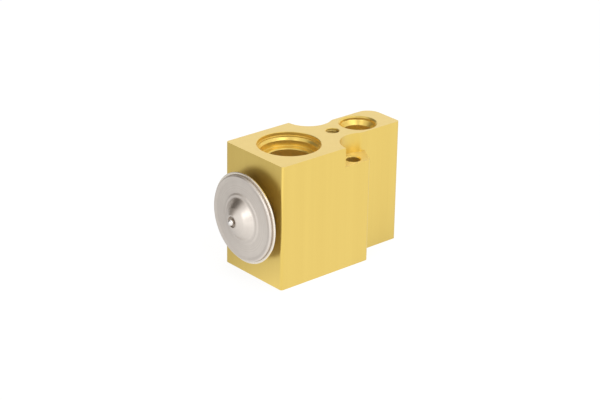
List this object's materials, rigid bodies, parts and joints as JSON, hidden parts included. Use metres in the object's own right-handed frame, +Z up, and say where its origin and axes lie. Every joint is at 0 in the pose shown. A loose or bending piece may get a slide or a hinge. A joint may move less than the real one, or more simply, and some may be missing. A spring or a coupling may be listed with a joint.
{
  "type": "thermostatic expansion valve",
  "caption": "Block-type thermostatic expansion valve: gold anodised aluminium block with suction and liquid ports, bolt pockets in its sides and a round stainless power element on one end.",
  "frame": {"origin": "axis of the suction port, in the plane of the lower port face", "axes": "+Z up through the ports; +X along the valve's own axis, from the power element to the adjusting screw; +Y across the block, on the side of the rounded far edge"},
  "size_m": [0.0781, 0.0356, 0.05],
  "materials": {
    "anodised_block": "satin gold anodised, machined",
    "power_element": "pressed stainless steel",
    "spring_steel": "bright spring steel",
    "ball_steel": "polished steel",
    "plain_aluminium": "turned",
    "turned_steel": "turned steel",
    "turned_brass": "turned",
    "seal_rubber": "matt"
  },
  "bodies": {
    "valve_block": {"valve_body": "anodised_block", "head_front_cover": "power_element", "head_back_cover": "power_element", "head_neck": "power_element", "diaphragm": "spring_steel", "charge_ball": "ball_steel", "head_seal_ring": "seal_rubber", "rod_seal_ring": "seal_rubber", "rod_seal_retainer": "spring_steel", "valve_spring": "spring_steel"},
    "valve_train": {"diaphragm_stop": "turned_brass", "sensing_rod": "plain_aluminium", "push_rod": "turned_steel", "valve_ball": "ball_steel", "ball_carrier": "turned_steel", "damping_ring": "spring_steel"},
    "adjuster_ring": {"adjuster_seal_ring": "seal_rubber"},
    "adjuster": {"adjusting_screw": "turned_brass"}
  },
  "joints": [
    {"name": "valve_lift", "type": "slide", "parent": "valve_block", "child": "valve_train", "axis": [1, 0, 0], "range_m": [0, 0.0008], "stiffness_N_per_m": 2000, "deforming": ["valve_spring", "diaphragm"]},
    {"name": "adjuster_advance", "type": "slide", "parent": "valve_block", "child": "adjuster_ring", "axis": [1, 0, 0], "range_m": [-0.001, 0.001], "deforming": ["valve_spring"]},
    {"name": "adjuster_turn", "type": "hinge", "parent": "adjuster_ring", "child": "adjuster", "pos_m": [0.0478, 0, 0.0254], "axis": [1, 0, 0], "range_deg": [-360.5, 360.5]}
  ],
  "couplings": [
    {"joint": "adjuster_turn", "follows": "adjuster_advance", "rad_per_m": 6283.2}
  ]
}
